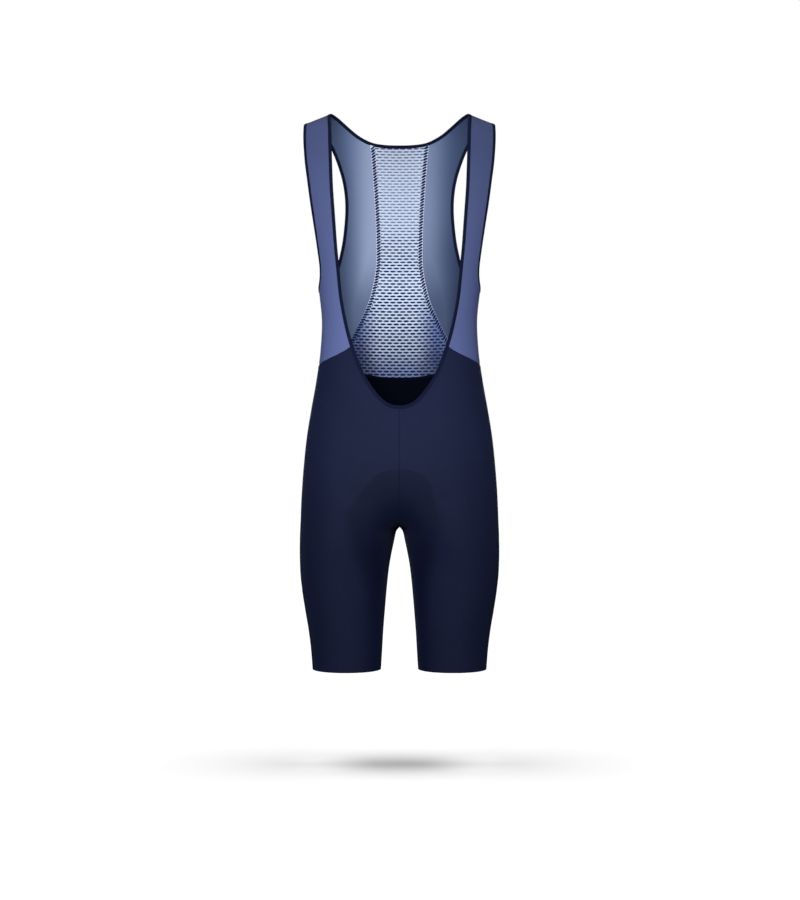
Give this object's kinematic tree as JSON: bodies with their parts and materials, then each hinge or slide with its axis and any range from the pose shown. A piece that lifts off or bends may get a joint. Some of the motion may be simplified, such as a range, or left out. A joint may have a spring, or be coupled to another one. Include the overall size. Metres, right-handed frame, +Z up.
{
  "type": "cycling bib shorts",
  "caption": "Cycling bib shorts, filled out as when worn: navy knit legs, lavender straps and sides, a white mesh back, and dark bindings round the neckline and armholes.",
  "frame": {"origin": "midway between the straps, at the height of the straps' top edges, where the wearer's shoulders hold the garment up", "axes": "+Z up along the body, the front faces -Y, +X is the wearer's left side"},
  "size_m": [0.3316, 0.2133, 0.9213],
  "materials": {
    "navy_knit": "satin-matte stretch knit",
    "lavender_knit": "matte stretch knit",
    "mesh_knit": "open mesh knit",
    "binding_elastic": "folded matte elastic",
    "pad_fabric": "matte brushed pad facing"
  },
  "bodies": {
    "root": {"shorts_left": "navy_knit", "shorts_right": "navy_knit", "bib_front_left": "lavender_knit", "bib_front_right": "lavender_knit", "bib_back_left": "lavender_knit", "bib_back_right": "lavender_knit", "mesh_back": "mesh_knit", "neck_binding": "binding_elastic", "arm_binding_left": "binding_elastic", "arm_binding_right": "binding_elastic", "pad": "pad_fabric"}
  },
  "joints": []
}
